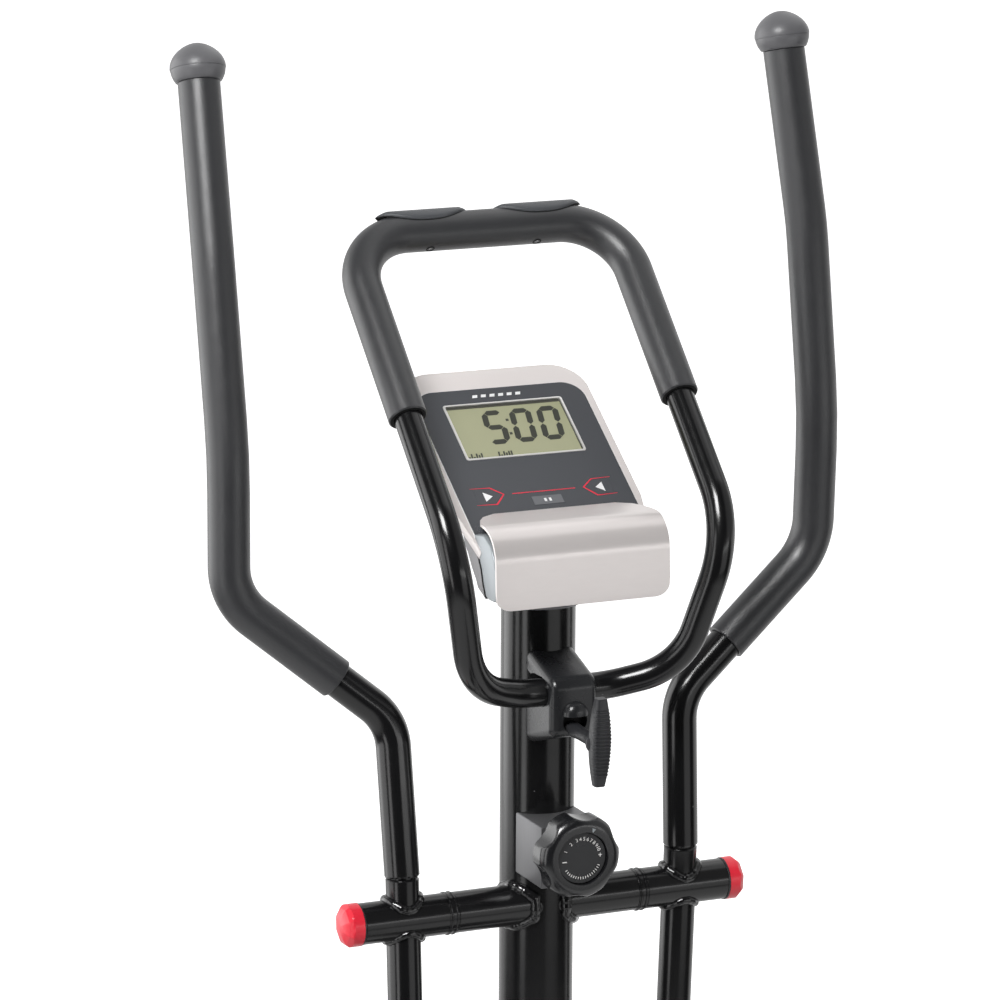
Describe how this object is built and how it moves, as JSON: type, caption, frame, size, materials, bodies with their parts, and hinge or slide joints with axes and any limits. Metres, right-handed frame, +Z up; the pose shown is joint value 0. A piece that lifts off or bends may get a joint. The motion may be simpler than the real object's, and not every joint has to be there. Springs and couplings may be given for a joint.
{
  "type": "elliptical trainer",
  "caption": "Upright elliptical trainer with swing arms, pedal bars, rear crank drive in a casing, loop handle with pulse pads, tilted console and a tension knob.",
  "frame": {"origin": "floor point below the middle of the machine's bounding box", "axes": "+X to the user's right, +Y the way the user faces, +Z up"},
  "size_m": [0.5542, 1.133, 1.5798],
  "materials": {
    "black_paint": "gloss black enamel",
    "steel": "satin",
    "cast_iron": "turned rim",
    "black_plastic": "fine texture",
    "casing_plastic": "satin",
    "foam": "soft foam",
    "pad_plastic": "fine ribbed",
    "red_plastic": "gloss",
    "silver_plastic": "satin metallic",
    "grey_plastic": "satin",
    "panel_film": "satin film",
    "display_glass": "clear over grey-green",
    "rubber_black": "matt"
  },
  "bodies": {
    "base": {"main_frame": "black_paint", "front_stabiliser": "black_paint", "rear_stabiliser": "black_paint", "front_post": "black_paint", "front_end_cap_left": "black_plastic", "front_end_cap_right": "black_plastic", "rear_foot_cap_left": "black_plastic", "rear_foot_cap_right": "black_plastic", "post_collar": "black_plastic", "pivot_axle": "steel", "casing_left": "casing_plastic", "casing_right": "casing_plastic", "flywheel_axle": "steel", "drive_belt": "rubber_black", "tension_cable": "black_plastic", "clamp_block": "black_plastic", "tension_housing": "grey_plastic", "tension_dial": "black_plastic", "console_front": "silver_plastic", "console_rear": "silver_plastic", "console_lip": "silver_plastic", "battery_cover": "black_plastic", "button_panel": "panel_film", "display_window": "display_glass"},
    "loop_handle": {"handlebar_loop": "black_paint", "handlebar_grip": "foam", "pulse_pad_left": "pad_plastic", "pulse_pad_right": "pad_plastic"},
    "clamp_screw": {"clamp_knob": "black_plastic"},
    "tension_selector": {"tension_knob": "black_plastic"},
    "magnet_brake": {"magnet_bracket": "steel"},
    "crank": {"crank_axle": "steel", "crank_arm_left": "black_paint", "crank_arm_right": "black_paint", "drive_pulley": "black_plastic"},
    "flywheel_rotor": {"flywheel": "cast_iron"},
    "swing_arm_left": {"lower_arm_left": "black_paint", "upper_handle_left": "black_paint", "foam_grip_left": "foam", "grip_cap_left": "black_plastic", "arm_ring_left": "black_plastic", "arm_end_cap_left": "red_plastic"},
    "swing_arm_right": {"lower_arm_right": "black_paint", "upper_handle_right": "black_paint", "foam_grip_right": "foam", "grip_cap_right": "black_plastic", "arm_ring_right": "black_plastic", "arm_end_cap_right": "red_plastic"},
    "pedal_left": {"pedal_bar_left": "black_paint", "footplate_left": "black_plastic", "pivot_bolt_left": "steel"},
    "pedal_right": {"pedal_bar_right": "black_paint", "footplate_right": "black_plastic", "pivot_bolt_right": "steel"},
    "wheel_left": {"transport_wheel_left": "rubber_black"},
    "wheel_right": {"transport_wheel_right": "rubber_black"},
    "key_left": {"button_left": "panel_film"},
    "key_right": {"button_right": "panel_film"},
    "key_mode": {"button_mode": "panel_film"}
  },
  "joints": [
    {"name": "swing_left", "type": "hinge", "parent": "base", "child": "swing_arm_left", "pos_m": [0, 0.3842, 0.838], "axis": [-1, 0, 0], "range_deg": [-16.1, 8.9]},
    {"name": "swing_right", "type": "hinge", "parent": "base", "child": "swing_arm_right", "pos_m": [0, 0.3842, 0.838], "axis": [-1, 0, 0], "range_deg": [-8.9, 16.1]},
    {"name": "pedal_left", "type": "hinge", "parent": "swing_arm_left", "child": "pedal_left", "pos_m": [0, 0.34653, 0.23918], "axis": [-1, 0, 0], "range_deg": [-8.9, 16.1]},
    {"name": "pedal_right", "type": "hinge", "parent": "swing_arm_right", "child": "pedal_right", "pos_m": [0, 0.42187, 0.23918], "axis": [-1, 0, 0], "range_deg": [-16.1, 8.9]},
    {"name": "flywheel_spin", "type": "hinge", "parent": "base", "child": "flywheel_rotor", "pos_m": [0, -0.4425, 0.245], "axis": [-1, 0, 0], "continuous": true},
    {"name": "crank_spin", "type": "hinge", "parent": "base", "child": "crank", "pos_m": [0, -0.2625, 0.3], "axis": [-1, 0, 0], "continuous": true},
    {"name": "tension_turn", "type": "hinge", "parent": "base", "child": "tension_selector", "pos_m": [0, 0.3285, 0.898], "axis": [0, 1, 0], "range_deg": [-79.5, 45.5]},
    {"name": "magnet_swing", "type": "hinge", "parent": "base", "child": "magnet_brake", "pos_m": [0, -0.412, 0.131], "axis": [-1, 0, 0], "range_deg": [-0.91, 1.59]},
    {"name": "handlebar_tilt", "type": "hinge", "parent": "base", "child": "loop_handle", "pos_m": [0, 0.3415, 1.035], "axis": [-1, 0, 0], "range_deg": [-12, 8]},
    {"name": "clamp_turn", "type": "hinge", "parent": "base", "child": "clamp_screw", "pos_m": [0, 0.3215, 1.005], "axis": [0, -1, 0], "range_deg": [0, 1080]},
    {"name": "wheel_left_spin", "type": "hinge", "parent": "base", "child": "wheel_left", "pos_m": [0, 0.5425, 0.03], "axis": [1, 0, 0], "continuous": true},
    {"name": "wheel_right_spin", "type": "hinge", "parent": "base", "child": "wheel_right", "pos_m": [0, 0.5425, 0.03], "axis": [1, 0, 0], "continuous": true},
    {"name": "key_left_press", "type": "slide", "parent": "base", "child": "key_left", "axis": [0, 0.5621, -0.8271], "range_m": [0, 0.0015], "stiffness_N_per_m": 400},
    {"name": "key_right_press", "type": "slide", "parent": "base", "child": "key_right", "axis": [0, 0.5621, -0.8271], "range_m": [0, 0.0015], "stiffness_N_per_m": 400},
    {"name": "key_mode_press", "type": "slide", "parent": "base", "child": "key_mode", "axis": [0, 0.5621, -0.8271], "range_m": [0, 0.0015], "stiffness_N_per_m": 400}
  ],
  "couplings": [
    {"joint": "swing_right", "follows": "swing_left", "ratio": -1},
    {"joint": "pedal_left", "follows": "swing_left", "ratio": -1},
    {"joint": "pedal_right", "follows": "swing_left", "ratio": 1},
    {"joint": "crank_spin", "follows": "flywheel_spin", "ratio": 0.12821},
    {"joint": "magnet_swing", "follows": "tension_turn", "ratio": -0.02}
  ]
}
